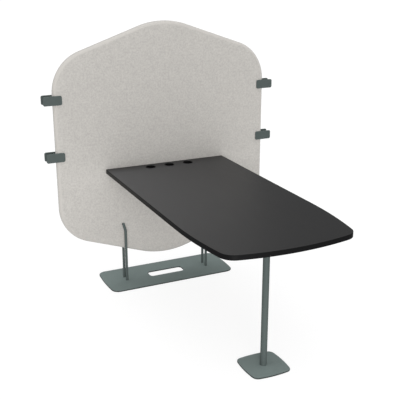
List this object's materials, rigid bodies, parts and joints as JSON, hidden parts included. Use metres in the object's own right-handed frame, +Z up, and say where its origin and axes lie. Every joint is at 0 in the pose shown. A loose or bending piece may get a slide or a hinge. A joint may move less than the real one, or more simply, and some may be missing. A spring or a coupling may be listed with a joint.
{
  "type": "desk with privacy screen",
  "caption": "Upholstered hexagonal privacy screen on a slotted floor plate, with a black desk top fixed to its front and held up by a round leg on a square floor plate.",
  "frame": {"origin": "on the floor, at the middle of the footprint's box", "axes": "+X to the right of a person at the desk who faces the screen, +Y from the desk top's free end to the screen, +Z up"},
  "size_m": [1.457, 1.709, 1.5827],
  "materials": {
    "screen_fabric": "woven wool melange, light warm grey",
    "foam": "cream upholstery foam",
    "plywood": "birch plywood, unfinished",
    "brass": "turned",
    "grey_metal": "grey-green powder coat, matt",
    "clip_metal": "dark grey powder coat, matt",
    "bracket_metal": "black powder coat, matt",
    "zinc_steel": "zinc plated",
    "chipboard": "raw chipboard",
    "black_laminate": "black laminate, finely textured matt",
    "black_edge": "black edging, satin",
    "black_plastic": "moulded, satin",
    "felt": "pressed felt, dark grey"
  },
  "bodies": {
    "root": {"cover_front": "screen_fabric", "cover_back": "screen_fabric", "pad_front": "foam", "pad_back": "foam", "screen_core": "plywood", "core_inserts": "brass", "base_plate": "grey_metal", "leg_foot_plate": "grey_metal", "leg_tube": "grey_metal", "leg_top_flange": "grey_metal", "upright_front_left": "grey_metal", "upright_front_right": "grey_metal", "upright_back_left": "grey_metal", "upright_back_right": "grey_metal", "connector_front_upper_left": "clip_metal", "connector_front_upper_right": "clip_metal", "connector_front_lower_left": "clip_metal", "connector_front_lower_right": "clip_metal", "connector_back_upper_left": "clip_metal", "connector_back_upper_right": "clip_metal", "connector_back_lower_left": "clip_metal", "connector_back_lower_right": "clip_metal", "connector_spacers": "clip_metal", "desk_bracket_left": "bracket_metal", "desk_bracket_right": "bracket_metal", "upright_base_screws": "zinc_steel", "upright_screen_screws": "zinc_steel", "connector_screws": "zinc_steel", "bracket_screen_bolts": "zinc_steel", "bracket_desk_screws": "zinc_steel", "leg_flange_screws": "zinc_steel", "leg_bottom_plug": "zinc_steel", "leg_foot_screw": "zinc_steel", "desk_board": "chipboard", "desk_top_laminate": "black_laminate", "desk_under_laminate": "black_laminate", "desk_edge_band": "black_edge", "cable_outlet_left": "black_plastic", "cable_outlet_middle": "black_plastic", "cable_outlet_right": "black_plastic", "base_felt": "felt", "foot_felt": "felt"}
  },
  "joints": []
}
